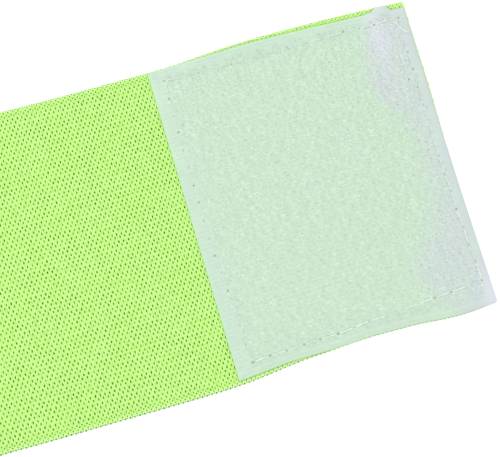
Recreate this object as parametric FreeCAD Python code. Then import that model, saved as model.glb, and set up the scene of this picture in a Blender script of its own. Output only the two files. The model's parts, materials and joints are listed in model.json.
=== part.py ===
"""Adjustable sweat wristband, laid open and flat.

A wide knitted elastic band is inlaid with rubber threads. A pad of hook tape is sewn on its
upper face at the +X end, and a pad of loop tape on its underside at the -X end. Worn, the band
curls upwards round the wrist, its upper face against the skin, and the hooks lap over the loops.

The fabric really is one strip. It is divided here into straight sections that hinge on the lines
where they meet, along the elastic's upper face, so that the strip can wrap. Each section is a
little longer than the one before it, so the wrapped strip is a spiral whose two laps lie parallel.

X runs along the band, Y across it and Z through it. The origin is under the middle of the band.
"""
import FreeCAD, Part
import math
import os

os.makedirs("parts", exist_ok=True)

# Driving dimensions, in millimetres
BAND_WIDTH = 76.0
BAND_THICKNESS = 1.6
BAND_EDGE_RADIUS = 0.6
HOOK_TAPE_WIDTH = 63.5
HOOK_TAPE_THICKNESS = 0.5
HOOK_HEIGHT = 0.8
HOOK_ROW_PITCH = 2.2
LOOP_TAPE_WIDTH = 50.8
LOOP_TAPE_THICKNESS = 0.4
LOOP_PILE_HEIGHT = 0.7
PAD_LENGTH = 75.0
TAPE_BORDER = 3.0
STITCH_INSET = 2.0
STITCH_PITCH = 4.2
THREAD_WIDTH = 0.4
THREAD_THICKNESS = 0.3
RUBBER_THREAD_RADIUS = 0.35

# How the strip is divided and wrapped
SECTION_COUNT = 16
SECTIONS_PER_TURN = 12
HOOK_PAD_SECTIONS = 4
SECTION_GAP = 0.2
STEP_RUN = 6.0

# Clearances
BAND_END_MARGIN = 0.4
HOOK_PAD_MARGIN = 0.6
STEP_MARGIN = 3.5
LAP_CLEARANCE = 0.6
STITCH_GAP = 0.6

# Worked out from the driving dimensions
turn_tangent = math.tan(math.pi / SECTIONS_PER_TURN)
hook_pad_thickness = HOOK_TAPE_THICKNESS + HOOK_HEIGHT
loop_pad_thickness = LOOP_TAPE_THICKNESS + LOOP_PILE_HEIGHT
step_shift = -loop_pad_thickness * math.cos(HOOK_PAD_SECTIONS * 2 * math.pi / SECTIONS_PER_TURN)
lap_offset = BAND_THICKNESS + hook_pad_thickness + loop_pad_thickness + LAP_CLEARANCE + step_shift
section_growth = 2 * turn_tangent * lap_offset / SECTIONS_PER_TURN
hook_zone = HOOK_TAPE_WIDTH + BAND_END_MARGIN + HOOK_PAD_MARGIN
hook_zone_growth = section_growth * sum(range(SECTION_COUNT - HOOK_PAD_SECTIONS, SECTION_COUNT))
first_section_length = (hook_zone - hook_zone_growth) / HOOK_PAD_SECTIONS
section_lengths = [first_section_length + section_growth * i for i in range(SECTION_COUNT)]
band_length = sum(section_lengths)
boundaries = [-band_length / 2 + sum(section_lengths[:i]) for i in range(SECTION_COUNT + 1)]

band_top = BAND_THICKNESS
hook_tape_top = band_top + HOOK_TAPE_THICKNESS
hook_pad_right = band_length / 2 - BAND_END_MARGIN
hook_pad_left = hook_pad_right - HOOK_TAPE_WIDTH
loop_pad_left = -band_length / 2 + BAND_END_MARGIN
loop_pad_right = loop_pad_left + LOOP_TAPE_WIDTH
step_start = loop_pad_right + STEP_MARGIN
step_end = step_start + STEP_RUN
step_radius = (STEP_RUN ** 2 + loop_pad_thickness ** 2) / (4 * loop_pad_thickness)
stitch_reach = PAD_LENGTH / 2 - STITCH_INSET
column_stitches = round(2 * stitch_reach / STITCH_PITCH)
column_pitch = 2 * stitch_reach / column_stitches


def underside(x):
    """Height of the elastic's underside: raised on the loop pad, then down a double bend to zero."""
    if x <= step_start:
        return loop_pad_thickness
    if x >= step_end:
        return 0.0
    if x <= step_start + STEP_RUN / 2:
        drop = step_radius - math.sqrt(step_radius ** 2 - (x - step_start) ** 2)
        return loop_pad_thickness - drop
    return step_radius - math.sqrt(step_radius ** 2 - (step_end - x) ** 2)


def hinge_height(index):
    """Height of the hinge line at the start of section `index`, on the elastic's upper face."""
    return underside(boundaries[index]) + BAND_THICKNESS


def box(x_low, x_high, y_low, y_high, z_low, z_high):
    """Rectangular block between two corners."""
    corner = FreeCAD.Vector(x_low, y_low, z_low)
    return Part.makeBox(x_high - x_low, y_high - y_low, z_high - z_low, corner)


def band_path(y):
    """Line along the middle of the elastic's thickness: straight, a double bend, straight."""

    def on_line(x):
        return FreeCAD.Vector(x, y, underside(x) + BAND_THICKNESS / 2)

    middle = step_start + STEP_RUN / 2
    pieces = [
        Part.LineSegment(on_line(-band_length / 2), on_line(step_start)),
        Part.Arc(on_line(step_start), on_line(step_start + STEP_RUN / 4), on_line(middle)),
        Part.Arc(on_line(middle), on_line(step_end - STEP_RUN / 4), on_line(step_end)),
        Part.LineSegment(on_line(step_end), on_line(band_length / 2)),
    ]
    return Part.Wire([piece.toShape() for piece in pieces])


def elastic_outline():
    """Cross-section of the elastic at the loop end: a rectangle with rounded selvedges."""
    x = -band_length / 2
    half = BAND_WIDTH / 2
    low = loop_pad_thickness
    high = low + BAND_THICKNESS
    r = BAND_EDGE_RADIUS
    diagonal = r - r * math.sqrt(0.5)

    def at(y, z):
        return FreeCAD.Vector(x, y, z)

    edges = [
        Part.LineSegment(at(-half + r, low), at(half - r, low)),
        Part.Arc(at(half - r, low), at(half - diagonal, low + diagonal), at(half, low + r)),
        Part.LineSegment(at(half, low + r), at(half, high - r)),
        Part.Arc(at(half, high - r), at(half - diagonal, high - diagonal), at(half - r, high)),
        Part.LineSegment(at(half - r, high), at(-half + r, high)),
        Part.Arc(at(-half + r, high), at(-half + diagonal, high - diagonal), at(-half, high - r)),
        Part.LineSegment(at(-half, high - r), at(-half, low + r)),
        Part.Arc(at(-half, low + r), at(-half + diagonal, low + diagonal), at(-half + r, low)),
    ]
    return Part.Wire([edge.toShape() for edge in edges])


def elastic_strip():
    """The whole elastic, swept along its path."""
    return band_path(0).makePipeShell([elastic_outline()], True, False)


def rubber_thread(y):
    """One rubber thread, swept along the middle of the elastic."""
    start = FreeCAD.Vector(-band_length / 2, y, loop_pad_thickness + BAND_THICKNESS / 2)
    circle = Part.makeCircle(RUBBER_THREAD_RADIUS, start, FreeCAD.Vector(1, 0, 0))
    return band_path(y).makePipeShell([Part.Wire([circle])], True, False)


def section_cell(index):
    """Space that one section may fill: upright below its hinge lines and leaning in above them.

    The lean lets what stands on the upper face turn through the hinge's full angle. The free
    ends of the band have no hinge, so they are left whole.
    """
    reach = 20.0
    left = boundaries[index]
    right = boundaries[index + 1]
    left_top = left
    right_top = right
    if index > 0:
        left += SECTION_GAP / 2
        left_top = left + reach * turn_tangent
    if index < SECTION_COUNT - 1:
        right -= SECTION_GAP / 2
        right_top = right - reach * turn_tangent
    left_hinge = hinge_height(index)
    right_hinge = hinge_height(index + 1)
    y = -BAND_WIDTH
    corners = [
        FreeCAD.Vector(left, y, -reach),
        FreeCAD.Vector(right, y, -reach),
        FreeCAD.Vector(right, y, right_hinge),
        FreeCAD.Vector(right_top, y, right_hinge + reach),
        FreeCAD.Vector(left_top, y, left_hinge + reach),
        FreeCAD.Vector(left, y, left_hinge),
        FreeCAD.Vector(left, y, -reach),
    ]
    return Part.Face(Part.makePolygon(corners)).extrude(FreeCAD.Vector(0, 2 * BAND_WIDTH, 0))


def stitch(start, end, low, high):
    """One stitch: a thread bar on the lower face, one on the upper face and a leg at each end."""
    half = THREAD_WIDTH / 2
    along_x = abs(end[0] - start[0]) > abs(end[1] - start[1])
    x_low = start[0] - (0 if along_x else half)
    x_high = end[0] + (0 if along_x else half)
    y_low = start[1] - (half if along_x else 0)
    y_high = end[1] + (half if along_x else 0)
    ring = box(x_low, x_high, y_low, y_high, low, high)
    window_low = low + THREAD_THICKNESS
    window_high = high - THREAD_THICKNESS
    if along_x:
        window = box(x_low + THREAD_WIDTH, x_high - THREAD_WIDTH, y_low, y_high,
                     window_low, window_high)
    else:
        window = box(x_low, x_high, y_low + THREAD_WIDTH, y_high - THREAD_WIDTH,
                     window_low, window_high)
    return ring.cut(window)


def seam(index, pad_left, pad_right, low, high):
    """The stitches of one pad's seam that lie in one section: its share of all four sides."""
    stitches = []
    seam_left = pad_left + STITCH_INSET
    seam_right = pad_right - STITCH_INSET
    row_left = max(seam_left, boundaries[index] + STITCH_GAP / 2)
    row_right = min(seam_right, boundaries[index + 1] - STITCH_GAP / 2)
    row_length = row_right - row_left
    if row_length > STITCH_PITCH / 2:
        row_count = max(1, round(row_length / STITCH_PITCH))
        row_pitch = row_length / row_count
        for side in (-1, 1):
            for i in range(row_count):
                x_start = row_left + i * row_pitch + STITCH_GAP / 2
                x_end = row_left + (i + 1) * row_pitch - STITCH_GAP / 2
                y = side * stitch_reach
                stitches.append(stitch((x_start, y), (x_end, y), low, high))
    for x in (seam_left, seam_right):
        if boundaries[index] < x < boundaries[index + 1]:
            for i in range(column_stitches):
                y_start = -stitch_reach + i * column_pitch + STITCH_GAP / 2
                y_end = -stitch_reach + (i + 1) * column_pitch - STITCH_GAP / 2
                stitches.append(stitch((x, y_start), (x, y_end), low, high))
    return stitches


def pad_layer(pad_left, pad_right, border, low, high):
    """One flat layer of a pad, set in from the pad's edges by `border` on all four sides."""
    half = PAD_LENGTH / 2 - border
    return box(pad_left + border, pad_right - border, -half, half, low, high)


def hook_row(y):
    """One row of hooks along the band: a thin stem with its tip curled over to one side."""
    stem = 0.3 * HOOK_HEIGHT
    shoulder = 0.5 * HOOK_HEIGHT
    tip = 0.55 * HOOK_HEIGHT
    x = hook_pad_left + TAPE_BORDER

    def at(across, up):
        return FreeCAD.Vector(x, y + across, hook_tape_top + up)

    edges = [
        Part.LineSegment(at(0, 0), at(stem, 0)),
        Part.LineSegment(at(stem, 0), at(stem, shoulder)),
        Part.LineSegment(at(stem, shoulder), at(stem + tip / 2, shoulder)),
        Part.Arc(at(stem + tip / 2, shoulder), at(stem + tip / 4, 0.9 * HOOK_HEIGHT),
                 at(stem / 2, HOOK_HEIGHT)),
        Part.Arc(at(stem / 2, HOOK_HEIGHT), at(0.1 * stem, 0.9 * HOOK_HEIGHT), at(0, shoulder)),
        Part.LineSegment(at(0, shoulder), at(0, 0)),
    ]
    profile = Part.Face(Part.Wire([edge.toShape() for edge in edges]))
    return profile.extrude(FreeCAD.Vector(HOOK_TAPE_WIDTH - 2 * TAPE_BORDER, 0, 0))


def within(shape, cell):
    """The solids of a shape that fall inside one section's cell."""
    return shape.common(cell).Solids


def save(name, solids):
    """Write one node, as a solid or as a group of separate solids."""
    if not solids:
        return
    shape = solids[0] if len(solids) == 1 else Part.makeCompound(solids)
    shape.exportStep("parts/" + name + ".step")
    print(name, len(solids), "solids,", round(sum(s.Volume for s in solids), 1), "mm3")


def without(solid, tools):
    """A solid with other solids cut out of it."""
    return solid.cut(Part.makeCompound(tools)) if tools else solid


elastic = elastic_strip()
thread_places = [-stitch_reach + (i + 0.5) * column_pitch for i in range(column_stitches)]
rubber_threads = Part.makeCompound([rubber_thread(y) for y in thread_places])

hook_tape = pad_layer(hook_pad_left, hook_pad_right, 0, band_top, hook_tape_top)
hook_span = PAD_LENGTH - 2 * TAPE_BORDER
hook_rows = int(hook_span / HOOK_ROW_PITCH)
hook_first = -hook_rows * HOOK_ROW_PITCH / 2
hooks = Part.makeCompound([hook_row(hook_first + i * HOOK_ROW_PITCH) for i in range(hook_rows + 1)])

loop_tape = pad_layer(loop_pad_left, loop_pad_right, 0, LOOP_PILE_HEIGHT, loop_pad_thickness)
loop_pile = pad_layer(loop_pad_left, loop_pad_right, TAPE_BORDER, 0, LOOP_PILE_HEIGHT)

for index in range(SECTION_COUNT):
    number = "_%02d" % (index + 1)
    cell = section_cell(index)
    hook_stitches = []
    if boundaries[index + 1] > hook_pad_left:
        seam_top = hook_tape_top + THREAD_THICKNESS
        hook_stitches = seam(index, hook_pad_left, hook_pad_right, 0, seam_top)
    loop_stitches = []
    if boundaries[index] < loop_pad_right:
        seam_low = LOOP_PILE_HEIGHT - THREAD_THICKNESS
        seam_top = loop_pad_thickness + BAND_THICKNESS
        loop_stitches = seam(index, loop_pad_left, loop_pad_right, seam_low, seam_top)
    stitches = hook_stitches + loop_stitches
    threads_here = within(rubber_threads, cell)

    save("elastic_band" + number, without(elastic.common(cell), threads_here + stitches).Solids)
    save("rubber_threads" + number, threads_here)
    save("hook_tape" + number, without(hook_tape.common(cell), hook_stitches).Solids)
    save("hooks" + number, within(hooks, cell))
    save("hook_pad_stitches" + number, hook_stitches)
    save("loop_tape" + number, without(loop_tape.common(cell), loop_stitches).Solids)
    save("loop_pile" + number, within(loop_pile, cell))
    save("loop_pad_stitches" + number, loop_stitches)

print("band", round(band_length, 2), "mm long; hinge lines at",
      [(round(boundaries[i], 2), round(hinge_height(i), 2)) for i in range(1, SECTION_COUNT)])
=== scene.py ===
# %% [markdown]
# # An adjustable sweat wristband
#
# A wide knitted elastic band with a pad of hook tape sewn on its upper face at one end and a pad
# of loop tape on its underside at the other. The CAD frame gives every size and every hinge line.
# This script dresses that frame in cloth: knit, tape, hooks, pile and thread.

# %% Load the frame
import json
import bpy
import numpy as np
from mathutils import Matrix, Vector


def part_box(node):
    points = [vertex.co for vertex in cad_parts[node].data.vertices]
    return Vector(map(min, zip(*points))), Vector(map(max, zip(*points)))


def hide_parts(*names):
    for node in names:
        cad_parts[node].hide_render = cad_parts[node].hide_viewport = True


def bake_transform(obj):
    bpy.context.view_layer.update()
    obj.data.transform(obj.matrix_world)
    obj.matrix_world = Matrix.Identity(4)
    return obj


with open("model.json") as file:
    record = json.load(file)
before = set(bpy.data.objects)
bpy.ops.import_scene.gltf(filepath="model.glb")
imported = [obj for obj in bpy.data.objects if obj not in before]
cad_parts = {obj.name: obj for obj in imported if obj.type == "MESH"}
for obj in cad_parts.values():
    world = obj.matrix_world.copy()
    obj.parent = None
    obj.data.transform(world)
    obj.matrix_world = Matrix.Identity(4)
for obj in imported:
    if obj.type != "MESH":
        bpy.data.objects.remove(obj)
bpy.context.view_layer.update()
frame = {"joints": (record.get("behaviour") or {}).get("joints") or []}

MM = 0.001

# %% [markdown]
# ## Hinge lines
# The real band is one strip that bends anywhere. The frame cuts it into straight sections with a
# hinge line between neighbours. Each piece of cloth is centred on one hinge line and reaches to the
# middle of the section on each side.

# %% Hinge lines and the pieces between them
hinge_lines = np.array(sorted(joint["pos_m"][0] for joint in frame["joints"])) / MM
band_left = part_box("elastic_band_01")[0].x / MM
band_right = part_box("elastic_band_16")[1].x / MM
section_ends = np.concatenate([[band_left], hinge_lines, [band_right]])
section_lengths = np.diff(section_ends)
section_middles = (section_ends[:-1] + section_ends[1:]) / 2
fold_share = 0.46


def fold_with(piece, line):
    """Bake a piece's placement into its mesh. The bend about hinge line `line`, counted from 1, is
    worked out but not made.
    """
    x = hinge_lines[line - 1]
    start = (x - fold_share * section_lengths[line - 1]) * MM
    body_a = "section_%02d" % line
    body_b = "section_%02d" % (line + 1)
    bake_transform(piece)


print("band from", round(band_left, 2), "to", round(band_right, 2), "mm,",
      len(hinge_lines), "lines")

# %% [markdown]
# ## Mesh helpers
# Every piece is worked out as whole arrays of points in millimetres. Cloth is a closed sleeve:
# rows of points across the upper face, then fewer rows back under it. Threads, hooks and pile are
# tubes along paths that each lie in one plane.

# %% Put arrays into a mesh
def new_piece(name, points, faces, flat=0, uv=None, values=None):
    """Make a mesh piece. `faces` lists arrays of corner numbers, and the first `flat` of them are
    shaded flat. `uv` gives each point's place in its pattern, `values` its other facts."""
    mesh = bpy.data.meshes.new(name)
    mesh.vertices.add(len(points))
    mesh.vertices.foreach_set("co", (points * MM).astype(np.float32).ravel())
    corners = np.concatenate([block.ravel() for block in faces]).astype(np.int32)
    counts = np.concatenate([np.full(len(block), block.shape[1]) for block in faces])
    starts = np.concatenate([[0], np.cumsum(counts)[:-1]]).astype(np.int32)
    smooth = [np.full(len(block), i >= flat) for i, block in enumerate(faces)]
    mesh.loops.add(len(corners))
    mesh.loops.foreach_set("vertex_index", corners)
    mesh.polygons.add(len(counts))
    mesh.polygons.foreach_set("loop_start", starts)
    mesh.polygons.foreach_set("use_smooth", np.concatenate(smooth))
    mesh.update(calc_edges=True)
    if uv is not None:
        layer = mesh.uv_layers.new(name="pattern")
        layer.data.foreach_set("uv", uv[corners].astype(np.float32).ravel())
    for key, value in (values or {}).items():
        attribute = mesh.attributes.new(key, "FLOAT", "POINT")
        attribute.data.foreach_set("value", np.asarray(value, np.float32).ravel())
    piece = bpy.data.objects.new(name, mesh)
    bpy.context.scene.collection.objects.link(piece)
    return piece


def grid_faces(columns, rows, closed):
    """Quads between neighbouring points of a grid stored column by column. A closed grid also
    joins its last row to its first."""
    i = np.arange(columns - 1)[:, None]
    j = np.arange(rows if closed else rows - 1)[None, :]
    k = (j + 1) % rows
    return np.stack([i * rows + j, (i + 1) * rows + j, (i + 1) * rows + k, i * rows + k],
                    axis=-1).reshape(-1, 4)


# %% A closed piece of cloth
tuck_reach = 0.25
tuck_sink = 0.012


def sleeve(name, xs, rows, upper, lower, pattern, values=None, tuck=(True, True)):
    """Closed cloth over the grid xs by rows. upper(x, y) and lower(x, y) give the points of its
    two faces, and the underside uses every second row. Both ends are closed with flat strips. An
    end that meets the next piece runs one column on, a hair inside it, so the seam stays smooth."""
    sink = np.zeros(len(xs))
    if tuck[0]:
        xs, sink = np.append(xs[0] - tuck_reach, xs), np.append(tuck_sink, sink)
    if tuck[1]:
        xs, sink = np.append(xs, xs[-1] + tuck_reach), np.append(sink, tuck_sink)
    under_rows = rows[-3:0:-2]
    top_x, top_y = np.meshgrid(xs, rows, indexing="ij")
    low_x, low_y = np.meshgrid(xs, under_rows, indexing="ij")
    points = np.concatenate([upper(top_x, top_y), lower(low_x, low_y)], axis=1)
    points[:, :len(rows), 2] -= sink[:, None]
    points[:, len(rows):, 2] += sink[:, None]
    all_x = np.concatenate([top_x, low_x], axis=1)
    all_y = np.concatenate([top_y, low_y], axis=1)
    last = len(rows) - 1
    around = points.shape[1]
    j = np.arange(2, last - 2, 2)
    below = last + (last - np.arange(0, last + 1)) // 2
    middle = np.stack([j, j + 1, j + 2, below[j + 2], below[j]], axis=-1)
    tips = np.array([[0, 1, 2, below[2]], [last - 2, last - 1, last, below[last - 2]]])
    shift = (len(xs) - 1) * around
    ends = [middle, middle[:, ::-1] + shift, tips, tips[:, ::-1] + shift]
    walls = grid_faces(len(xs), around, True)
    facts = {key: value(all_x, all_y) for key, value in (values or {}).items()}
    return new_piece(name, points.reshape(-1, 3), ends + [walls], 4,
                     pattern(all_x, all_y).reshape(-1, 2), facts)


# %% Many tubes at once
def tubes(name, paths, radii, sides, across, values=None):
    """Tubes along `paths`, an array (tube, step, 3). Each path lies in a plane whose normal is
    its row of `across`. A ring of `sides` points stands round each step, and both ends close."""
    count, steps = paths.shape[:2]
    along = np.gradient(paths, axis=1)
    along /= np.linalg.norm(along, axis=2, keepdims=True)
    side = np.broadcast_to(across[:, None, :], paths.shape)
    inward = np.cross(side, along)
    angle = 2 * np.pi * np.arange(sides) / sides
    ring = (np.cos(angle)[:, None] * inward[:, :, None, :]
            + np.sin(angle)[:, None] * side[:, :, None, :])
    radii = np.broadcast_to(radii, paths.shape[:2])
    points = paths[:, :, None, :] + radii[:, :, None, None] * ring
    first = (np.arange(count) * steps * sides)[:, None, None]
    k = np.arange(steps - 1)[None, :, None] * sides
    j = np.arange(sides)[None, None, :]
    nxt = (j + 1) % sides
    a = first + k
    walls = np.stack([a + j, a + nxt, a + sides + nxt, a + sides + j], axis=-1).reshape(-1, 4)
    start = first[:, 0] + np.arange(sides)[None, ::-1]
    end = first[:, 0] + (steps - 1) * sides + np.arange(sides)[None, :]
    facts = {key: np.repeat(value, steps * sides) for key, value in (values or {}).items()}
    return new_piece(name, points.reshape(-1, 3), [start, end, walls], 2, None, facts)


# %% Tubes and ribbons, fold by fold
def tubes_by_fold(name, places, ends, paths, radii, sides, across, values):
    """Tubes shared out by their places: one numbered piece between each two of `ends`."""
    pieces = []
    for number in range(len(ends) - 1):
        mine = (places >= ends[number]) & (places < ends[number + 1])
        facts = {key: value[mine] for key, value in values.items()}
        pieces.append(tubes("%s_%02d" % (name, number + 1), paths[mine], radii, sides,
                            across[mine], facts))
    return pieces


def strip_columns(low, high, step):
    """Even columns from low to high, a little less than a step apart."""
    return np.linspace(low, high, int((high - low) / step) + 2)


def ribbon_by_fold(name, ends, step, rows, upper, lower, values=None):
    """A ribbon's cloth: one numbered piece between each two of `ends`."""
    last = len(ends) - 2
    return [sleeve("%s_%02d" % (name, i + 1), strip_columns(ends[i], ends[i + 1], step), rows,
                   upper, lower, own_place, values, (i > 0, i < last)) for i in range(last + 1)]


def own_place(x, y):
    """A ribbon's pattern places are plain millimetres."""
    return np.stack([x, y], axis=-1)


# %% [markdown]
# ## The outline of the laid band
# The band isn't quite straight. Its two selvedges wander, the hook end is pulled towards +Y by its
# seam, and the cut end leans. A few control points and a smooth cubic through them give each edge.
# All layers go through the same function, so they stay together.

# %% Smooth edge lines
def smooth_line(places, heights):
    """A cubic through control points, with each slope taken from the neighbouring points."""
    places = np.array(places, float)
    heights = np.array(heights, float)
    slopes = np.gradient(heights, places)

    def at(place):
        place = np.clip(place, places[0], places[-1])
        i = np.clip(np.searchsorted(places, place) - 1, 0, len(places) - 2)
        gap = places[i + 1] - places[i]
        t = (place - places[i]) / gap
        return ((1 + 2 * t) * (1 - t) ** 2 * heights[i] + t * (1 - t) ** 2 * gap * slopes[i]
                + t * t * (3 - 2 * t) * heights[i + 1] + t * t * (t - 1) * gap * slopes[i + 1])

    return at


def ease(value, low, high):
    """0 below low, 1 above high, and a smooth step between them."""
    t = np.clip((value - low) / (high - low), 0, 1)
    return t * t * (3 - 2 * t)


band_top_edge = smooth_line([-118, -70, -30, 5, 20, 33, 48, 56, 60, 66, 72, 78, 84, 92, 105, 118],
                            [38.0, 37.7, 37.54, 37.4, 37.42, 37.48, 37.76, 37.98, 38.18, 38.74,
                             39.3, 39.66, 39.85, 39.96, 39.93, 39.55])
band_low_edge = smooth_line([-118, -60, -20, 0, 9, 22, 36, 50, 54.5, 59, 62, 65, 68, 74, 80, 86,
                             92, 98, 104, 109, 118],
                            [-38.0, -37.35, -36.92, -36.9, -37.16, -37.42, -37.7, -37.88, -37.78,
                             -37.48, -37.2, -36.92, -36.64, -36.4, -36.14, -36.02, -36.2, -36.45,
                             -37.06, -37.32, -36.9])
band_end = smooth_line([-37, -24, -8, 5, 17, 30, 39], [117.1, 117.2, 117.35, 117.7, 118.1, 118.3,
                                                       118.45])

# %% Where a point of the band lies
band_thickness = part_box("elastic_band_09")[1].z / MM
half_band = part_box("elastic_band_09")[1].y / MM
loop_pad_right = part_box("loop_tape_04")[1].x / MM
loop_pad_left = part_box("loop_tape_01")[0].x / MM
loop_pad_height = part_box("loop_tape_01")[1].z / MM
step_start = loop_pad_right + 3.5
step_end = step_start + 6.0


def underside(x):
    """Height of the band's underside: raised on the loop pad, then eased down to the table."""
    return loop_pad_height * (1 - ease(x, step_start, step_end))


def ripple(x, y):
    """Slow waves that lift the cloth a little off the table, and none over the loop pad."""
    wave = 1 + np.sin(x * 0.085 + 0.6 + 0.02 * y) * np.cos(y * 0.06 + 0.4)
    return 0.09 * wave * ease(x, step_end - 5, step_end + 30)


def on_band(x, y, height):
    """Place a point by its distance along the band, across it, and height above the underside."""
    part = (y + half_band) / (2 * half_band)
    real_y = band_low_edge(x) + part * (band_top_edge(x) - band_low_edge(x))
    real_x = x + ease(x, 96, band_right) * (band_end(real_y) - band_right)
    return np.stack([real_x, real_y, underside(x) + ripple(x, y) + height], axis=-1)


print("elastic", round(band_thickness, 2), "mm thick,", round(2 * half_band, 1), "mm wide")

# %% [markdown]
# ## Knitted elastic
# The elastic is knitted round its rubber threads. Between the stitches it leaves small holes, in
# pairs of rows, one row shifted half a step from the other. A knit could be made of real yarn
# loops, but a quarter of a million of them would be too heavy. Here the surface has a pit at every
# hole, four columns of points to a step and eight rows to a pair, and the material paints a
# highlight on the yarn strokes and shade in the holes from the same pattern places. first_holes
# and second_holes place the two rows of a pair, as shares of a step and of a pair.

# %% Pattern places of the knit
hole_step = 1.105
row_pairs = 44
first_holes = (0.25, 0.25)
second_holes = (0.75, 0.672)
row_places = np.array([-half_band, -half_band + 2, half_band - 2, half_band])
row_numbers = np.array([0.0, 2.0, row_pairs - 2, row_pairs])
in_pair = np.array([0, 0.12, 0.25, 0.38, 0.53, 0.672, 0.80, 0.91])
knit_rows = np.append((np.arange(row_pairs)[:, None] + in_pair[None, :]).ravel(), row_pairs)
knit_ys = np.interp(knit_rows, row_numbers, row_places)


def knit_pattern(x, y):
    """Steps along the band and row pairs across it. The last two pairs at each selvedge are
    packed closer."""
    return np.stack([x / hole_step, np.interp(y, row_places, row_numbers)], axis=-1)


def pit(pattern, step, row):
    """1 at the holes of one row of the pair, falling to 0 a third of a millimetre away."""
    across = ((pattern[..., 0] - step + 0.5) % 1 - 0.5) * hole_step / 0.31
    along = ((pattern[..., 1] - row + 0.5) % 1 - 0.5) * 1.8 / 0.34
    return np.clip(1 - np.hypot(across, along), 0, 1)


def knit_fused(x, y):
    """1 on the last half millimetre at both cut ends, where the hot knife melts the yarn."""
    return 1 - ease(np.minimum(x - band_left, band_right - x), 0.35, 0.8) + 0.0 * y


def knit_relief(x, y):
    """How far the face sinks, in mm: pits at both rows of holes, and a shallow groove between
    pairs of rows. The melted ends are smooth."""
    pattern = knit_pattern(x, y)
    groove = 0.05 * np.cos(2 * np.pi * (pattern[..., 1] - 0.96))
    relief = 0.22 * pit(pattern, *first_holes) + 0.28 * pit(pattern, *second_holes) + groove + 0.05
    return relief * (1 - knit_fused(x, y))


def knit_bulge(y):
    """Half the band's thickness: full in the middle and rounded off at the selvedges."""
    t = np.clip((np.abs(y) - half_band + 0.8) / 0.8, 0, 1)
    return band_thickness / 2 * (1 - t ** 2.6) ** (1 / 2.6)


def knit_edge(x, y):
    """Scalloped selvedge: one small bump for each step of the knit."""
    near = np.clip((np.abs(y) - half_band + 1.3) / 1.3, 0, 1) ** 2
    return y + np.sign(y) * near * 0.13 * np.cos(2 * np.pi * (x / hole_step - 0.25))


def knit_face(side):
    """The upper face for side 1, the underside for -1: the rounded thickness less the relief."""
    def face(x, y):
        half = knit_bulge(y)
        sink = knit_relief(x, y) * half / (band_thickness / 2)
        return on_band(x, knit_edge(x, y), band_thickness / 2 + side * (half - sink))

    return face


# %% Columns of each piece, cut through a line of holes
quarter = hole_step / 4
hole_lines = (np.arange(-110, 110) + 0.25) * hole_step
cuts = [hole_lines[np.argmin(np.abs(hole_lines - middle))] for middle in section_middles[1:-1]]
piece_ends = np.array([band_left] + cuts + [band_right])


def knit_columns(low, high):
    """Columns a quarter of a step apart, with the piece's own ends first and last."""
    inner = np.arange(np.ceil(low / quarter + 0.3), np.floor(high / quarter - 0.3) + 1) * quarter
    return np.concatenate([[low], inner, [high]])


knit_bands = []
for line in range(1, 16):
    piece = sleeve("knit_band_%02d" % line, knit_columns(*piece_ends[line - 1:line + 1]), knit_ys,
                   knit_face(1), knit_face(-1), knit_pattern, {"fused": knit_fused},
                   (line > 1, line < 15))
    knit_bands.append(piece)
print("knit:", sum(len(p.data.polygons) for p in knit_bands), "faces in", len(knit_bands))

# %% [markdown]
# ## Rubber threads
# Round rubber threads run the whole length inside the knit and give it its stretch. They show only
# at the two cut ends, where they stand out by a hair.

# %% Rubber threads
thread_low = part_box("rubber_threads_09")[0]
thread_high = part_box("rubber_threads_09")[1]
rubber_radius = (thread_high.z - thread_low.z) / MM / 2
rubber_count = 17
rubber_out = 0.15
rubber_ys = np.linspace(thread_low.y / MM + rubber_radius, thread_high.y / MM - rubber_radius,
                        rubber_count)
rubber_threads = []
for line in range(1, 16):
    low, high = piece_ends[line - 1], piece_ends[line]
    low -= rubber_out if line == 1 else 0
    high += rubber_out if line == 15 else 0
    grid_y, grid_x = np.meshgrid(rubber_ys, strip_columns(low, high, 0.9), indexing="ij")
    paths = on_band(grid_x, grid_y, band_thickness / 2)
    paths[..., 0] += np.maximum(grid_x - band_right, 0)
    across = np.tile([0.0, 1.0, 0.0], (rubber_count, 1))
    piece = tubes("rubber_run_%02d" % line, paths, rubber_radius, 6, across)
    rubber_threads.append(piece)
print("rubber threads:", rubber_count, "of radius", round(rubber_radius, 2), "mm")

# %% [markdown]
# ## Hook tape
# The tape is a thin, stiff woven ribbon, cut square and sewn round all four sides. Its outline
# follows its own four edge lines. Along the seam the cloth dips a little at every needle hole. Near
# the cut end it stands off the band, so less green shows through there. Five attributes tell the
# material of the needle holes, the stand-off, its highest places, the plain hem and the thin rim.

# %% Edges of the hook tape
tape_left = smooth_line([-37, -3, 12, 38], [53.32, 53.26, 53.28, 53.2])
tape_right = smooth_line([-37, -8, 17, 38], [117.25, 117.4, 117.8, 118.2])
tape_top_edge = smooth_line([53, 57, 60, 66, 71, 77, 83, 92, 104, 108.4, 110, 110.9, 112.4, 113.5,
                             114.4, 116, 118.3],
                            [37.7, 37.7, 37.87, 38.18, 38.42, 38.75, 38.82, 38.76, 38.55, 38.58,
                             38.85, 39.5, 39.65, 39.4, 38.3, 38.02, 38.0])
tape_low_edge = smooth_line([53.3, 57.6, 61.7, 65, 68, 71, 75.5, 80, 86, 92, 98, 104, 109, 118],
                            [-36.9, -36.62, -36.35, -36.15, -36.08, -36.1, -36.16, -36.1, -36.02,
                             -36.2, -36.45, -37.05, -37.32, -36.9])
tape_thickness = 0.5
pad_length = 64.4
pad_half = 37.5
stand_off_height = 0.12
stand_off_line = smooth_line([-38, -35.9, -29, -22.3, -18.4, -8.6, 2.3, 11.2, 18.2, 24.2, 35.2, 38],
                             [107, 106, 102.5, 101, 105, 109.5, 110.5, 109, 104.5, 104, 108,
                              110])


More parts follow.
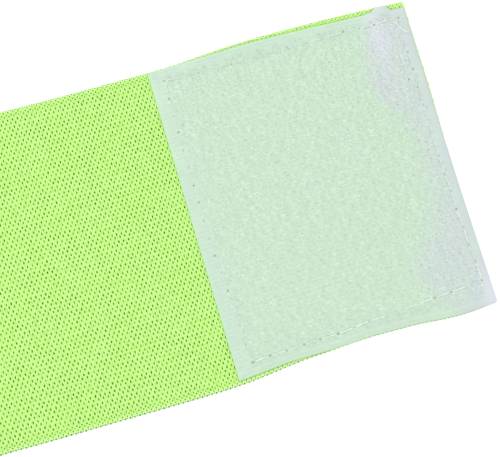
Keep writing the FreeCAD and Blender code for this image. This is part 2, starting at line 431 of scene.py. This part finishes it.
def on_tape(along, across, height):
    """Place a point of the hook pad. along runs 0 to the pad's length, across is -half to half,
    and height counts from the tape's underside."""
    t = (across + pad_half) / (2 * pad_half)
    x = tape_left(0) + along
    y = tape_low_edge(x) + t * (tape_top_edge(x) - tape_low_edge(x))
    x = tape_left(y) + (tape_right(y) - tape_left(y)) * along / pad_length
    y = tape_low_edge(x) + t * (tape_top_edge(x) - tape_low_edge(x))
    part = (y - band_low_edge(x)) / (band_top_edge(x) - band_low_edge(x))
    rounding = knit_bulge((2 * part - 1) * half_band)
    base = ripple(x, y) + band_thickness / 2 + rounding + stand_off_height * stand_off(x, y)
    return np.stack([x, y, base + height], axis=-1)


def stand_off(x, y):
    """0 where the tape lies on the knit, 1 where it stands off it, over a border that is soft
    in the lower half and sharper near the upper edge."""
    wander = 0.4 * np.sin(y * 0.9) + 0.2 * np.sin(y * 2.3 + 1)
    reach = 7.0 - 5.2 * ease(y, -15, 20)
    return ease((x - stand_off_line(y) + wander) / reach, -1, 1.1)


def lift(x, y):
    """1 at the two places where the tape stands highest, each a bell a few millimetres wide."""
    upper = np.exp(-((x - 109.4) / 2.6) ** 2 - ((y - 31.5) / 7) ** 2)
    lower = np.exp(-((x - 117.4) / 3.2) ** 2 - ((y + 35.5) / 7) ** 2)
    return np.maximum(upper, lower)


# %% Needle holes of the hook pad's seam
chance = np.random.default_rng(7)


def seam_points(from_point, to_point, bend, pitch):
    """Needle holes a stitch apart on a line that bows by `bend` in the middle, with a little
    scatter."""
    from_point, to_point = np.array(from_point), np.array(to_point)
    length = np.linalg.norm(to_point - from_point)
    count = int(round(length / pitch)) + 1
    t = np.linspace(0, 1, count)[:, None]
    normal = np.array([from_point[1] - to_point[1], to_point[0] - from_point[0]]) / length
    line = from_point + t * (to_point - from_point) + 4 * t * (1 - t) * bend * normal
    return line + chance.normal(0, 0.12, line.shape)


# Each row of stitches: where it starts and ends, how far it bows, and the length of a stitch.
hook_seams = [
    seam_points((56.7, 34.6), (57.6, -33.5), -0.9, 4.15),
    seam_points((57.6, -33.5), (115.1, -30.9), -0.4, 4.2),
    seam_points((115.1, -30.9), (115.9, 35.4), 0.8, 4.3),
    seam_points((113.8, 35.6), (56.7, 34.6), 0.2, 4.2),
    seam_points((113.6, 27.0), (113.7, 20.0), 0.0, 3.4),
]
needle_holes = np.concatenate(hook_seams)
hole_sizes = chance.uniform(0.35, 1.2, len(needle_holes))


def needle_depth(x, y):
    """How far inside a needle hole a point is: a bell 0.3 mm wide, and 0.35 to 1.2 in its
    middle, because some holes have closed up more than others."""
    depth = np.zeros(np.shape(x))
    for (hole_x, hole_y), size in zip(needle_holes, hole_sizes):
        bell = size * np.exp(-((x - hole_x) ** 2 + (y - hole_y) ** 2) / 0.075)
        depth = np.maximum(depth, bell)
    return depth


def tape_inset(along, across, end_scale=1.0):
    """Distance in from the tape's nearest edge. end_scale stretches it at the cut end."""
    return np.minimum(np.minimum(along, (pad_length - along) * end_scale),
                      pad_half - np.abs(across))


def tape_surface(along, across):
    """The tape's upper face: fine ribs along the band, rounded edges and dips at the needle."""
    place = on_tape(along, across, tape_thickness)
    x, y = place[..., 0], place[..., 1]
    edge = tape_inset(along, across)
    ribs = 0.012 * np.cos(2 * np.pi * across) * ease(edge, 1.5, 4)
    weave = 0.006 * np.sin(2 * np.pi * along / 1.1) * np.sin(np.pi * across)
    place[..., 2] += ribs + weave - 0.43 * (1 - ease(edge, -0.2, 0.9)) - 0.18 * needle_depth(x, y)
    return place


def tape_underside(along, across):
    """The underside, flat against the knit."""
    return on_tape(along, across, 0.0 * along)


def by_pad_place(fact):
    """Turn a fact of the laid x and y into a fact of the place on the pad."""
    def at(along, across):
        place = on_tape(along, across, 0.0)
        return fact(place[..., 0], place[..., 1])

    return at


def tape_hem(along, across):
    """1 on the plain border round the hooks, 0 inside it."""
    return 1 - ease(tape_inset(along, across, 1.3), 1.0, 6.0)


def tape_rim(along, across):
    """1 on the thin outermost half millimetre, where most of the green shows through."""
    return 1 - ease(tape_inset(along, across), 0.0, 0.8)


# %% Hook tape pieces
tape_cuts = np.concatenate([[0], np.array(cuts[11:14]) - tape_left(0), [pad_length]])
tape_ys = np.linspace(-pad_half, pad_half, 301)
tape_facts = {"needle": by_pad_place(needle_depth), "stand_off": by_pad_place(stand_off),
              "lift": by_pad_place(lift), "hem": tape_hem, "rim": tape_rim}
hook_tapes = ribbon_by_fold("hook_ribbon", tape_cuts, 0.25, tape_ys, tape_surface, tape_underside,
                            tape_facts)
print("hook tape:", sum(len(p.data.polygons) for p in hook_tapes), "faces,",
      len(needle_holes), "needle holes")

# %% [markdown]
# ## Hooks
# Each hook is a stub of stiff monofilament, woven in upright and curled over at the tip. They
# stand in rows along the band, unevenly spaced along each row, and neighbours in a row curl
# opposite ways. One hook is a tube of seven rings with four sides, so thousands stay light.

# %% Hooks
hook_path = np.array([[0.0, -0.1], [0.0, 0.34], [0.03, 0.56], [0.13, 0.72], [0.27, 0.74],
                      [0.37, 0.62], [0.37, 0.48]])
hook_pitch = 1.1
hook_row_pitch = 1.0
along, across = np.meshgrid(np.arange(3.9, pad_length - 2.5, hook_pitch),
                            np.arange(-35.0, 35.1, hook_row_pitch), indexing="ij")
row_turn = np.broadcast_to(np.arange(across.shape[1]) % 2, across.shape)
hook_turn = np.broadcast_to(np.arange(along.shape[0])[:, None] % 2, along.shape)
along = (along + hook_pitch / 2 * row_turn + chance.uniform(-0.45, 0.45, along.shape)).ravel()
across = (across + chance.normal(0, 0.05, across.shape)).ravel()
curl = np.where(hook_turn.ravel() == 1, np.pi, 0) + chance.normal(0, 0.4, along.shape)
size = chance.normal(1.0, 0.07, along.shape)
lean = chance.normal(0, 0.1, along.shape)
foot = on_tape(along, across, tape_thickness)
kept = needle_depth(foot[:, 0], foot[:, 1]) < 0.1
kept &= tape_hem(along, across) < 0.8
foot, along, curl, size, lean = foot[kept], along[kept], curl[kept], size[kept], lean[kept]
heading = np.stack([np.cos(curl), np.sin(curl), 0 * curl], axis=-1)
reach = size[:, None] * hook_path[None, :, 0] + lean[:, None] * hook_path[None, :, 1]
hook_paths = foot[:, None, :] + reach[..., None] * heading[:, None, :]
hook_paths[..., 2] += size[:, None] * hook_path[None, :, 1]
hook_side = np.stack([-heading[:, 1], heading[:, 0], 0 * curl], axis=-1)
hook_facts = {"tone": chance.random(len(foot)), "stand_off": stand_off(foot[:, 0], foot[:, 1]),
              "lift": lift(foot[:, 0], foot[:, 1])}
hook_radii = np.array([0.05, 0.047, 0.045, 0.045, 0.043, 0.04, 0.034])
hook_fields = tubes_by_fold("hook_field", along, tape_cuts, hook_paths, hook_radii, 4, hook_side,
                            hook_facts)
print("hooks:", len(foot), "of", hook_path.shape[0], "rings")

# %% [markdown]
# ## Seams
# A lockstitch shows one thread on each face. Each stitch comes up at a needle hole, runs on the
# cloth to the next one and goes down again. It is a short round tube whose ends dive into the
# cloth. The hook pad's thread is whitest along the low side and near the cut end, and elsewhere
# it has the tape's own tone. At the corner a slack end lies loose over the tape.

# %% Stitches
def stitch_paths(starts, ends, height, side):
    """Stitches between points: each dives 0.24 mm into the cloth at both ends and lies just
    proud of it between them. `side` is 1 on an upper face and -1 on an underside."""
    t = np.linspace(0, 1, 11)
    arch = side * (0.3 * (1 - np.abs(2 * t - 1) ** 4) - 0.24)
    share = 0.09 + 0.82 * t
    flat = starts[:, None, :] + share[None, :, None] * (ends - starts)[:, None, :]
    level = height(flat[..., 0], flat[..., 1]) + arch[None, :]
    return np.concatenate([flat, level[..., None]], axis=-1)


def lay_stitches(rows, upper_level, lower_level):
    """The stitches along rows of needle holes: the start of each, then place along the band, path
    and level direction for its upper threads and after them its lower ones."""
    starts = np.concatenate([points[:-1] for points in rows])
    ends = np.concatenate([points[1:] for points in rows])
    way = (ends - starts) / np.linalg.norm(ends - starts, axis=1, keepdims=True)
    side = np.stack([-way[:, 1], way[:, 0], 0 * way[:, 0]], axis=-1)
    paths = np.concatenate([stitch_paths(starts, ends, upper_level, 1),
                            stitch_paths(starts, ends, lower_level, -1)])
    return starts, np.tile((starts[:, 0] + ends[:, 0]) / 2, 2), paths, np.tile(side, (2, 1))


def tape_level(x, y):
    """Height of the hook tape's face where a thread lies on it."""
    return ripple(x, y) + band_thickness + tape_thickness + stand_off_height * stand_off(x, y)


def knit_level(x, y):
    """Height of the band's underside where a thread lies against it."""
    return underside(x) + ripple(x, y) + 0.16


seam_starts, seam_places, seam_paths, seam_sides = lay_stitches(hook_seams, tape_level,
                                                                knit_level)
seam_show = np.where(seam_starts[:, 1] < -30, 1.4, np.where(seam_starts[:, 0] > 100, 0.9, 0.25))
seam_tone = chance.uniform(0.0, 0.55, len(seam_starts)) * seam_show
t = np.linspace(0, 1, 11)
slack_x = 113.2 + 3.9 * t + 0.25 * np.sin(2 * np.pi * t)
slack_y = 35.9 - 4.7 * t
slack = np.stack([slack_x, slack_y, tape_level(slack_x, slack_y) + 0.05], axis=-1)
slack_side = np.array([[0.83, 0.55, 0.0]])
thread_radius = 0.14
seam_folds = tape_left(0) + tape_cuts
seam_folds[[0, -1]] += [-9, 9]  # the pad's leaning ends stay inside
hook_seam_pieces = tubes_by_fold(
    "hook_pad_seam", np.append(seam_places, slack_x[-1]), seam_folds,
    np.concatenate([seam_paths, slack[None]]), thread_radius, 6,
    np.concatenate([seam_sides, slack_side]), {"tone": np.append(np.tile(seam_tone, 2), 0.5)})
print("hook pad seam:", len(seam_starts), "stitches")

# %% [markdown]
# ## Loop pad
# The loop pad lies under the other end. Its ribbon is woven like the hook tape, and its face is a
# pile of fine loops, brushed so that they lean every way. Each loop is an arch of a thin tube with
# three sides. Five thousand of them cover the pad without a bare patch.

# %% Loop ribbon
ribbon_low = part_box("loop_tape_01")[0].z / MM
loop_cuts = np.array([loop_pad_left] + cuts[0:3] + [loop_pad_right])


def loop_edge(x, y):
    """Distance in from the nearest edge of the loop pad."""
    return np.minimum(np.minimum(x - loop_pad_left, loop_pad_right - x), pad_half - np.abs(y))


def ribbon_face(x, y):
    """The ribbon's outward face, which looks down: fine ribs and rounded edges."""
    place = on_band(x, y, 0.0)
    rib = 0.03 * np.cos(2 * np.pi * y / 0.9)
    place[..., 2] = ribbon_low + rib + 0.2 * (1 - ease(loop_edge(x, y), -0.1, 0.5))
    return place


def ribbon_back(x, y):
    """The ribbon's back, flat against the elastic."""
    place = on_band(x, y, 0.0)
    place[..., 2] = loop_pad_height + 0.0 * x
    return place


ribbon_ys = np.linspace(-pad_half, pad_half, 251)
loop_ribbons = ribbon_by_fold("loop_ribbon", loop_cuts, 0.5, ribbon_ys, ribbon_back, ribbon_face)
print("loop ribbon:", round(loop_pad_right - loop_pad_left, 1), "mm wide")

# %% Loop pile
pile_pitch = 0.8
loops_x, loops_y = np.meshgrid(np.arange(loop_pad_left + 2.9, loop_pad_right - 2.8, pile_pitch),
                               np.arange(-34.7, 34.8, pile_pitch), indexing="ij")
loops_x = (loops_x + chance.uniform(-pile_pitch / 2, pile_pitch / 2, loops_x.shape)).ravel()
loops_y = (loops_y + chance.uniform(-pile_pitch / 2, pile_pitch / 2, loops_y.shape)).ravel()
turn = chance.uniform(0, 2 * np.pi, loops_x.shape)
span = chance.uniform(0.5, 1.1, loops_x.shape)
drop = chance.uniform(0.42, 0.6, loops_x.shape)
t = np.linspace(0, 1, 7)
arch_out = -np.cos(np.pi * t) * (1 + 0.35 * np.sin(np.pi * t)) / 2
arch_down = np.sin(np.pi * t) ** 0.8
heading = np.stack([np.cos(turn), np.sin(turn)], axis=-1)
loop_foot = on_band(loops_x, loops_y, 0.0)
loop_paths = np.repeat(loop_foot[:, None, :], 7, axis=1)
loop_paths[..., :2] += (span[:, None] * arch_out)[..., None] * heading[:, None, :]
loop_paths[..., 2] = ribbon_low + 0.03 - drop[:, None] * arch_down
loop_side = np.stack([-heading[:, 1], heading[:, 0], 0 * turn], axis=-1)
loop_piles = tubes_by_fold("pile_of_loops", loops_x, loop_cuts, loop_paths, 0.075, 3, loop_side,
                           {"tone": chance.random(len(turn))})
print("pile:", len(turn), "loops")

# %% Loop pad's seam
corners = [(loop_pad_left + 2, 35.4), (loop_pad_left + 2, -35.4), (loop_pad_right - 2, -35.5),
           (loop_pad_right - 2, 35.5)]
loop_seams = [seam_points(start, end, 0.2, 4.2)
              for start, end in zip(corners, corners[1:] + corners[:1])]


def flat_level(height):
    """A level for threads that is the same everywhere."""
    return lambda x, y: height + 0.0 * x


loop_starts, seam_places, seam_paths, seam_sides = lay_stitches(
    loop_seams, flat_level(loop_pad_height + band_thickness - 0.05), flat_level(ribbon_low + 0.02))
fold_by_fold = np.argsort(np.digitize(seam_places, loop_cuts), kind="stable")
loop_seam_tone = np.zeros(len(seam_places))
loop_seam_tone[fold_by_fold] = chance.uniform(0.7, 1.0, len(seam_places))
loop_seam_pieces = tubes_by_fold("loop_pad_seam", seam_places, loop_cuts, seam_paths, 0.17, 6,
                                 seam_sides, {"tone": loop_seam_tone})
print("loop pad seam:", len(loop_starts), "stitches")

# %% [markdown]
# ## Node helpers
# Patterns are sums of simple masks. A small class stands for one value inside a node tree, and its
# operators make math nodes, so a formula reads almost as it would on paper.

# %% Values in a node tree
class Value:
    """One value in a node tree. Arithmetic on it makes math nodes."""

    def __init__(self, tree, socket):
        self.tree = tree
        self.socket = socket

    def __add__(self, other):
        return calc("ADD", self, other)

    def __sub__(self, other):
        return calc("SUBTRACT", self, other)

    def __rsub__(self, other):
        return calc("SUBTRACT", other, self)

    def __mul__(self, other):
        return calc("MULTIPLY", self, other)

    def __truediv__(self, other):
        return calc("DIVIDE", self, other)


def wire(socket, value):
    """Link a socket to a value of its tree, or fill it with a plain number or colour."""
    if isinstance(value, Value):
        value.tree.links.new(value.socket, socket)
    else:
        socket.default_value = value


def add_node(tree, kind, inputs=(), **settings):
    """A new node with its settings and its first inputs."""
    made = tree.nodes.new(kind)
    for key, setting in settings.items():
        setattr(made, key, setting)
    for socket, value in zip(made.inputs, inputs):
        wire(socket, value)
    return made


# %% Node helpers
def calc(operation, *values):
    """One math node."""
    tree = next(value.tree for value in values if isinstance(value, Value))
    return Value(tree, add_node(tree, "ShaderNodeMath", values, operation=operation).outputs[0])


def fade(value, low, high, to_low=0.0, to_high=1.0):
    """A smooth step of a value from low to high."""
    made = add_node(value.tree, "ShaderNodeMapRange", (value, low, high, to_low, to_high),
                    interpolation_type="SMOOTHSTEP")
    return Value(value.tree, made.outputs[0])


def join_xyz(x, y, z):
    """A vector of three values."""
    return Value(x.tree, add_node(x.tree, "ShaderNodeCombineXYZ", (x, y, z)).outputs[0])


def blend_colour(share, first, second):
    """Mix two colours by a share."""
    made = add_node(share.tree, "ShaderNodeMix", data_type="RGBA")
    for place, value in ((0, share), (6, first), (7, second)):
        wire(made.inputs[place], value)
    return Value(share.tree, made.outputs[2])


def noise(vector, scale, detail):
    """A noise value about 0.5."""
    made = add_node(vector.tree, "ShaderNodeTexNoise", noise_dimensions="3D")
    wire(made.inputs["Vector"], vector)
    wire(made.inputs["Scale"], scale)
    wire(made.inputs["Detail"], detail)
    return Value(vector.tree, made.outputs["Fac"])


def own_fact(tree, name):
    """A value from the mesh."""
    return Value(tree, add_node(tree, "ShaderNodeAttribute", attribute_name=name).outputs["Fac"])


def pattern_place(tree):
    """The piece's own pattern places, as two values."""
    place = Value(tree, add_node(tree, "ShaderNodeUVMap", uv_map="pattern").outputs[0])
    parts = add_node(tree, "ShaderNodeSeparateXYZ", (place,))
    return Value(tree, parts.outputs[0]), Value(tree, parts.outputs[1])


def object_place(tree):
    """Object coordinates."""
    return Value(tree, add_node(tree, "ShaderNodeTexCoord").outputs["Object"])


def rgb(red, green, blue, share=1.0):
    """A display colour from 0 to 255 as the linear colour that a shader takes, scaled."""
    c = np.array([red, green, blue]) / 255
    linear = np.where(c <= 0.04045, c / 12.92, ((c + 0.055) / 1.055) ** 2.4) * share
    return (*map(float, linear), 1.0)


def new_material(name, roughness, specular=0.3, glow=0.0):
    """A material with plain values: itself, its node tree and its shader's inputs."""
    material = bpy.data.materials.new(name)
    material.use_nodes = True
    tree = material.node_tree
    inputs = tree.nodes["Principled BSDF"].inputs
    wire(inputs["Roughness"], roughness)
    wire(inputs["Specular IOR Level"], specular)
    wire(inputs["Emission Strength"], glow)
    return material, tree, inputs


def add_bump(inputs, height, distance, strength):
    """Raise the surface by a height value; distance is in metres."""
    bump = add_node(height.tree, "ShaderNodeBump")
    wire(bump.inputs["Strength"], strength)
    wire(bump.inputs["Distance"], distance)
    wire(bump.inputs["Height"], height)
    wire(inputs["Normal"], Value(height.tree, bump.outputs[0]))


# %% [markdown]
# ## Shared effects
# Two groups serve several materials. "Dot lattice" draws one soft oval dot in each cell of a
# pattern and tells each cell's own random number, for knit holes, woven ribs and painted glints.
# "Fibre tone" gives a slow and a fine unevenness, as yarn has from its dye and its fibres.

# %% Group helpers
def group_of(name, ins, outs):
    """A node group: itself, the values it is given and the sockets it fills."""
    group = bpy.data.node_groups.new(name, "ShaderNodeTree")
    for label, default in ins:
        socket = group.interface.new_socket(label, in_out="INPUT", socket_type="NodeSocketFloat")
        socket.default_value = default
    for label in outs:
        group.interface.new_socket(label, in_out="OUTPUT", socket_type="NodeSocketFloat")
    sockets = group.nodes.new("NodeGroupInput").outputs
    given = [Value(group, sockets[i]) for i in range(len(ins))]
    return group, given, group.nodes.new("NodeGroupOutput").inputs


def place_group(group, *values):
    """Put a group in its first value's tree with its own values."""
    tree = values[0].tree
    made = add_node(tree, "ShaderNodeGroup", values, node_tree=group)
    return [Value(tree, socket) for socket in made.outputs]


# %% Dot lattice group
dots, given, told = group_of("Dot lattice", [("Along", 0), ("Across", 0), ("Shift along", 0),
                                             ("Shift across", 0), ("Reach along", 0.25),
                                             ("Reach across", 0.25)], ["Dot", "Chance"])
u, v, shift_u, shift_v, reach_u, reach_v = given
moved_u = u - shift_u + 0.5
moved_v = v - shift_v + 0.5
near_u = (calc("FRACT", moved_u) - 0.5) / reach_u
near_v = (calc("FRACT", moved_v) - 0.5) / reach_v
wire(told[0], fade(calc("SQRT", near_u * near_u + near_v * near_v), 1.0, 0.4))
dice = add_node(dots, "ShaderNodeTexWhiteNoise", noise_dimensions="2D")
cell = join_xyz(calc("FLOOR", moved_u), calc("FLOOR", moved_v), 0.0)
wire(dice.inputs["Vector"], cell)
wire(told[1], Value(dots, dice.outputs["Value"]))

# %% Fibre tone group
fibres, given, told = group_of("Fibre tone", [("Along", 0), ("Across", 0)], ["Slow", "Fine"])
wire(told[0], noise(join_xyz(*given, 3.0), 0.13, 3.0))
wire(told[1], noise(join_xyz(*given, 9.0), 2.6, 3.0))
print("groups:", [group.name for group in bpy.data.node_groups])

# %% [markdown]
# ## Knit material
# The yarn is matt and bright yellow-green. Light strokes of yarn beside the holes are a painted
# highlight, and the holes are a deep green of painted shade whose darkness changes from hole to
# hole. The selvedges are paler, and the grey dark between their scallops is a painted shadow.

# %% Knit material
knit_green, tree, shader = new_material("knit_green", 0.85, specular=0.03)
u, v = pattern_place(tree)
slow, fine = place_group(fibres, u, v)
u_shaken = u + (noise(join_xyz(u, v, 5.0), 1.1, 1.0) - 0.5) * 0.30
v_shaken = v + (noise(join_xyz(v, u, 8.0), 1.3, 1.0) - 0.5) * 0.20
first, first_chance = place_group(dots, u_shaken, v_shaken, *first_holes, 0.175, 0.215)
second, second_chance = place_group(dots, u_shaken, v_shaken, *second_holes, 0.18, 0.22)
# Hole mask: it drives the painted shade of the holes and the bump of the pits.
holes = calc("MAXIMUM", first * (first_chance * 0.45 + 0.55),
             second * (second_chance * 0.35 + 0.65))
holes = holes * (1.0 - own_fact(tree, "fused"))
zig = calc("SINE", v * (2 * np.pi)) * 0.10
stripe = calc("ABSOLUTE", calc("FRACT", u_shaken * 2.0 + 0.5 + zig) - 0.5)
beside = fade(calc("COSINE", (v - 0.46) * (2 * np.pi)), -0.9, 0.7, 0.25, 1.0)
strokes = fade(stripe, 0.24, 0.02) * beside * fade(fine, 0.3, 0.62, 0.35, 1.0)
plain = blend_colour(fade(fine, 0.3, 0.7), rgb(176, 226, 112, 0.62), rgb(192, 244, 134, 0.62))
plain = blend_colour(fade(slow, 0.35, 0.7) * 0.35, plain, rgb(182, 236, 122, 0.62))
# Painted highlight: the light strokes stand for light on the raised yarn.
colour = blend_colour(strokes, plain, rgb(218, 255, 168, 0.66))
out = calc("ABSOLUTE", v - row_pairs / 2)
colour = blend_colour(fade(out, 20.9, 21.7) * 0.65, colour, rgb(208, 255, 162, 0.72))
# Painted shade: the deep green stands for the shade inside the pits.
colour = blend_colour(holes, colour, rgb(56, 110, 0, 0.48))
# Painted shadow: grey between the selvedge scallops stands for the band's shadow at its edge.
rim = fade(out, 21.45, 21.9) * fade(stripe, 0.14, 0.32)
colour = blend_colour(rim * 0.8, colour, rgb(100, 106, 116, 0.55))
wire(shader["Base Color"], colour)
add_bump(shader, holes * -0.8 + strokes * 0.5 + fine * 0.35, 0.00025, 0.5)

# %% [markdown]
# ## Tape, hooks and thread
# The tape is a milky nylon. Where it lies on the knit the green shows through it, where it stands
# off it is greyer, and where it stands highest it looks a cool lavender. The hooks are the same
# nylon, a little shinier. Both glow faintly in their own colour, a painted light that lifts their
# shaded sides. A colour driven by the stand-off takes the place of transmission, because it
# is quicker and stays the same in other programs.

# %% Nylon colours
def milky(off, uneven):
    """The nylon's colour: pale green over the knit, grey-green where it stands off and lavender
    where it stands highest."""
    near = blend_colour(uneven, rgb(203, 228, 203, 0.523), rgb(211, 235, 212, 0.523))
    away = blend_colour(uneven, rgb(206, 220, 216, 0.523), rgb(214, 223, 223, 0.523))
    highest = blend_colour(uneven, rgb(216, 220, 229, 0.55), rgb(224, 227, 235, 0.55))
    plain = blend_colour(off, near, away)
    return blend_colour(own_fact(off.tree, "lift") * 0.75, plain, highest)


# %% Hook tape material
# Painted light: the tape glows faintly in its own colour, which lifts its shaded parts.
milky_tape, tree, shader = new_material("milky_tape", 0.55, glow=0.12)
u, v = pattern_place(tree)
slow, fine = place_group(fibres, u, v)
streaks = noise(join_xyz(u * 0.22, v, 2.0), 2.4, 2.0)
weave = calc("COSINE", v * (2 * np.pi)) * 0.12 + streaks
uneven = fade(weave, 0.3, 0.7)
stands_off = own_fact(tree, "stand_off")
off = fade((fine - 0.5) * 0.5 + stands_off, 0.0, 1.0) * fade(slow, 0.3, 0.7, 0.6, 1.0)
hem = own_fact(tree, "hem")
hem_colour = blend_colour(uneven, rgb(200, 226, 205, 0.495), rgb(208, 232, 214, 0.495))
hem_colour = blend_colour(off, hem_colour, rgb(207, 219, 218, 0.505))
hem_colour = blend_colour(own_fact(tree, "lift"), hem_colour, rgb(218, 220, 230, 0.54))
colour = blend_colour(hem * fade(slow, 0.35, 0.6, 0.45, 0.95), milky(off, uneven), hem_colour)
rim = own_fact(tree, "rim") * (stands_off * -0.5 + 0.5)
colour = blend_colour(rim, colour, rgb(190, 240, 150, 0.56))
# Painted highlight: sparse white dots stand for glints of light on the hooks, fewer on the hem.
glint_dot, glint_chance = place_group(dots, u * 1.8, v * 2.2, 0.0, 0.0, 0.45, 0.2)
glints = glint_dot * fade(glint_chance, 0.93, 0.96) * (hem * -0.8 + 1.0)
colour = blend_colour(glints * 0.8, colour, rgb(250, 255, 252, 0.66))
# Needle holes: the knit's green seen through each hole, darkened by painted shade inside it.
needle = fade(own_fact(tree, "needle"), 0.2, 0.7)
colour = blend_colour(needle * 0.85, colour, rgb(132, 166, 100, 0.58))
wire(shader["Base Color"], colour)
wire(shader["Emission Color"], colour)
wire(shader["Roughness"], fade(streaks, 0.3, 0.7, 0.42, 0.68))
add_bump(shader, fine * 0.7 + weave, 0.00008, 0.5)

# %% Hook material
# Painted light: the hooks glow faintly in their own colour, which lifts their shaded sides.
clear_hooks, tree, shader = new_material("clear_hooks", 0.32, glow=0.22)
tone = own_fact(tree, "tone")
colour = milky(own_fact(tree, "stand_off"), fade(tone, 0.2, 1.0))
# Painted highlight: the brightest tenth of the hooks turn near-white as glints of light.
colour = blend_colour(fade(tone, 0.9, 1.0) * 0.8, colour, rgb(250, 255, 252, 0.68))
wire(shader["Base Color"], colour)
wire(shader["Emission Color"], colour)
wire(shader["Roughness"], fade(tone, 0.0, 1.0, 0.45, 0.25))

# %% Thread, pile, ribbon and rubber
white_thread, tree, shader = new_material("white_thread", 0.6)
twist = noise(object_place(tree), 2600.0, 1.0)
tone = own_fact(tree, "tone") * 0.8 + twist * 0.3
colour = blend_colour(tone, rgb(204, 227, 211, 0.6), rgb(250, 253, 251, 0.67))
wire(shader["Base Color"], colour)
add_bump(shader, twist, 0.00008, 0.6)

white_pile, tree, shader = new_material("white_pile", 0.7)
wire(shader["Sheen Weight"], 0.2)
colour = blend_colour(own_fact(tree, "tone"), rgb(214, 224, 218, 0.62), rgb(240, 246, 242, 0.66))
wire(shader["Base Color"], colour)

white_ribbon, tree, shader = new_material("white_ribbon", 0.65)
u, v = pattern_place(tree)
fine = place_group(fibres, u, v)[1]
pick = place_group(dots, u * 1.6, v * 1.11, 0.0, 0.0, 0.5, 0.5)[0]
woven = fine * 0.5 + pick * 0.5
colour = blend_colour(woven, rgb(196, 208, 202, 0.6), rgb(234, 240, 236, 0.64))
wire(shader["Base Color"], colour)
add_bump(shader, woven, 0.0001, 0.6)

grey_rubber, tree, shader = new_material("grey_rubber", 0.5)
talc = noise(object_place(tree), 1400.0, 3.0)
colour = blend_colour(fade(talc, 0.35, 0.7), rgb(196, 200, 188, 0.6), rgb(224, 228, 216, 0.62))
wire(shader["Base Color"], colour)
wire(shader["Roughness"], fade(talc, 0.3, 0.7, 0.4, 0.7))
print("materials:", sorted(material.name for material in bpy.data.materials))

# %% [markdown]
# ## Finishing the pieces
# Each piece stands for the plain CAD nodes of its section, which are hidden, and takes its finish
# from one material. The strip at each ribbon's inner edge is narrower than a sheet may be, so it
# counts as a part of the sheet beside it.

# %% Finish, bake and replace
def settle(pieces, material, first_line, nodes):
    """Give pieces their material, bake the placement of each, and hide the nodes that they stand
    for."""
    for number, piece in enumerate(pieces):
        piece.data.materials.append(material)
        fold_with(piece, first_line + number)
        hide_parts(*nodes[number])


def node_names(kind, first, last):
    """One list of node names for each section."""
    return [["%s_%02d" % (kind, section)] for section in range(first, last + 1)]


band_nodes = node_names("elastic_band", 2, 16)
band_nodes[0].append("elastic_band_01")
rubber_nodes = node_names("rubber_threads", 2, 16)
rubber_nodes[0].append("rubber_threads_01")
settle(knit_bands, knit_green, 1, band_nodes)
settle(rubber_threads, grey_rubber, 1, rubber_nodes)
settle(hook_tapes, milky_tape, 12, node_names("hook_tape", 13, 16))
settle(hook_fields, clear_hooks, 12, node_names("hooks", 13, 16))
settle(hook_seam_pieces, white_thread, 12,
       node_names("hook_pad_stitches", 13, 16))
settle(loop_ribbons, white_ribbon, 1, node_names("loop_tape", 1, 4))
settle(loop_piles, white_pile, 1, node_names("loop_pile", 1, 4))
settle(loop_seam_pieces, white_thread, 1, node_names("loop_pad_stitches", 1, 4))

for number, piece in enumerate(knit_bands):
    span = (piece_ends[number + 1] - piece_ends[number]) * MM
    under = [loop_ribbons[number]] if number < 4 else []
for number in (0, 1, 2):
    span = (loop_cuts[number + 1] - loop_cuts[number]) * MM
    strip = [loop_ribbons[3]] if number == 2 else []
for number in (1, 2, 3):
    span = (tape_cuts[number + 1] - tape_cuts[number]) * MM
    strip = [hook_tapes[0]] if number == 1 else []
print("sheets declared:", len(knit_bands) + 3 + 3)

# %% [markdown]
# ## Floor, light and camera
# The band lies on a plain white floor in bright, even light. The sky gives most of it, and one
# large lamp above on the left gives the hooks and the knit a soft direction.

# %% Floor
floor_half = 3000.0
floor_height = -0.12
floor_corners = floor_half * np.array([[-1, -1], [1, -1], [1, 1], [-1, 1]])
floor_points = np.column_stack([floor_corners, np.full(4, floor_height)])
floor = new_piece("floor", floor_points, [np.array([[0, 1, 2, 3]])])
paper, tree, shader = new_material("white_paper", 0.9)
wire(shader["Base Color"], (0.94, 0.94, 0.94, 1.0))
floor.data.materials.append(paper)

# %% Light
scene = bpy.context.scene
scene.view_settings.view_transform = "Standard"
scene.view_settings.look = "None"
sky = bpy.data.worlds.new("soft_sky")
scene.world = sky
sky.use_nodes = True
sky_inputs = sky.node_tree.nodes["Background"].inputs
wire(sky_inputs["Color"], (1.0, 1.0, 1.0, 1.0))
wire(sky_inputs["Strength"], 1.62)
lamp_data = bpy.data.lights.new("big_softbox", "AREA")
lamp_data.shape = "SQUARE"
lamp_data.size = 0.7
lamp_data.energy = 4.5
lamp = bpy.data.objects.new("big_softbox", lamp_data)
scene.collection.objects.link(lamp)
lamp.location = (-0.45, 0.35, 0.95)
lamp.rotation_mode = "QUATERNION"
lamp.rotation_quaternion = (-lamp.location).to_track_quat("-Z", "Y")

# %% Camera
eye = bpy.data.cameras.new("eye")
eye.sensor_width = 36.0
eye.lens = 72.0
eye.clip_start = 0.01
eye.clip_end = 20.0
camera = bpy.data.objects.new("eye", eye)
scene.collection.objects.link(camera)
right = (0.94909, -0.28977, 0.12358)
down = (-0.26944, -0.94994, -0.15815)
forward = (0.16322, 0.1168, -0.97965)
stand = (0.02819, -0.0311, 0.22785)
camera.matrix_world = Matrix([[right[i], -down[i], -forward[i], stand[i]] for i in range(3)]
                             + [[0, 0, 0, 1]])
scene.camera = camera
print("camera", [round(c, 3) for c in camera.location])
